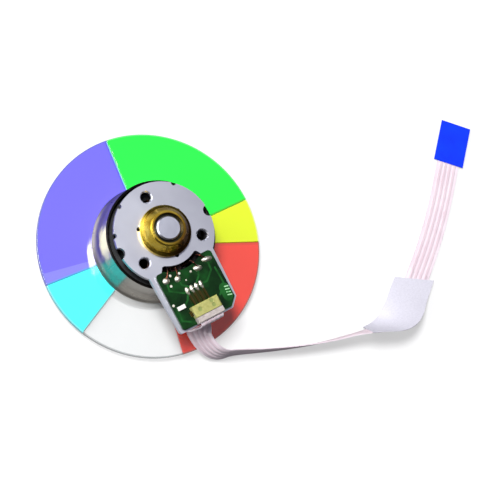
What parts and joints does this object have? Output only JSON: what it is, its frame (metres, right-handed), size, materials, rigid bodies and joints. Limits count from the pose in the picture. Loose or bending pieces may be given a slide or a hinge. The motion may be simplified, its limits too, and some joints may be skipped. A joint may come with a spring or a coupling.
{
  "type": "projector color wheel",
  "caption": "Segmented glass filter ring on a small outer rotor motor with a base plate, terminal board, latching connector and flat cable.",
  "frame": {"origin": "on the motor axis, in the front face of the clamp ring that the part rests on", "axes": "+Z along the motor axis from the filters to the base plate; the terminal board lies towards -Y"},
  "size_m": [0.0968, 0.0605, 0.0162],
  "materials": {
    "plate_aluminium": "satin",
    "boss_brass": "polished",
    "bearing_bronze": "satin",
    "thrust_plastic": "satin",
    "ground_steel": "polished",
    "core_steel": "satin",
    "insulator_plastic": "satin",
    "winding_copper": "gloss",
    "tape_film": "matte",
    "board_mask": "gloss",
    "solder_tin": "gloss",
    "chip_ceramic": "satin",
    "housing_resin": "satin",
    "lock_resin": "satin",
    "contact_tin": "gloss",
    "cable_film": "satin",
    "label_paper": "matte",
    "stiffener_film": "satin",
    "cup_steel": "polished",
    "magnet_ferrite": "matte",
    "clamp_aluminium": "turned",
    "balance_putty": "matte",
    "clear_adhesive": "gloss",
    "filter_green": "polished",
    "filter_blue": "polished",
    "filter_cyan": "polished",
    "filter_clear": "polished",
    "filter_red": "polished",
    "filter_yellow": "polished"
  },
  "bodies": {
    "stator": {"base_plate": "plate_aluminium", "bearing_housing": "boss_brass", "sleeve_bearing": "bearing_bronze", "thrust_plate": "thrust_plastic", "end_cap": "ground_steel", "stator_core": "core_steel", "insulator_lower": "insulator_plastic", "insulator_upper": "insulator_plastic", "stator_coils": "winding_copper", "coil_leads": "winding_copper", "board_tape": "tape_film", "circuit_board": "board_mask", "solder_joints": "solder_tin", "chip_resistor": "chip_ceramic", "connector_housing": "housing_resin", "connector_contacts": "contact_tin", "connector_anchors": "contact_tin", "ribbon_cable": "cable_film", "ribbon_label": "label_paper", "ribbon_stiffener": "stiffener_film", "ribbon_fingers": "contact_tin"},
    "rotor": {"rotor_cup": "cup_steel", "ring_magnet": "magnet_ferrite", "shaft": "ground_steel", "retaining_washer": "thrust_plastic", "clamp_ring": "clamp_aluminium", "balance_putty": "balance_putty", "glass_bond": "clear_adhesive", "glass_green": "filter_green", "glass_blue": "filter_blue", "glass_cyan": "filter_cyan", "glass_clear": "filter_clear", "glass_red": "filter_red", "glass_yellow": "filter_yellow"},
    "lock": {"connector_slider": "lock_resin"}
  },
  "joints": [
    {"name": "wheel_spin", "type": "hinge", "parent": "stator", "child": "rotor", "pos_m": [0, 0, 0.008], "axis": [0, 0, 1], "continuous": true},
    {"name": "lock_slide", "type": "slide", "parent": "stator", "child": "lock", "axis": [0, -1, 0], "range_m": [0, 0.0008]}
  ]
}
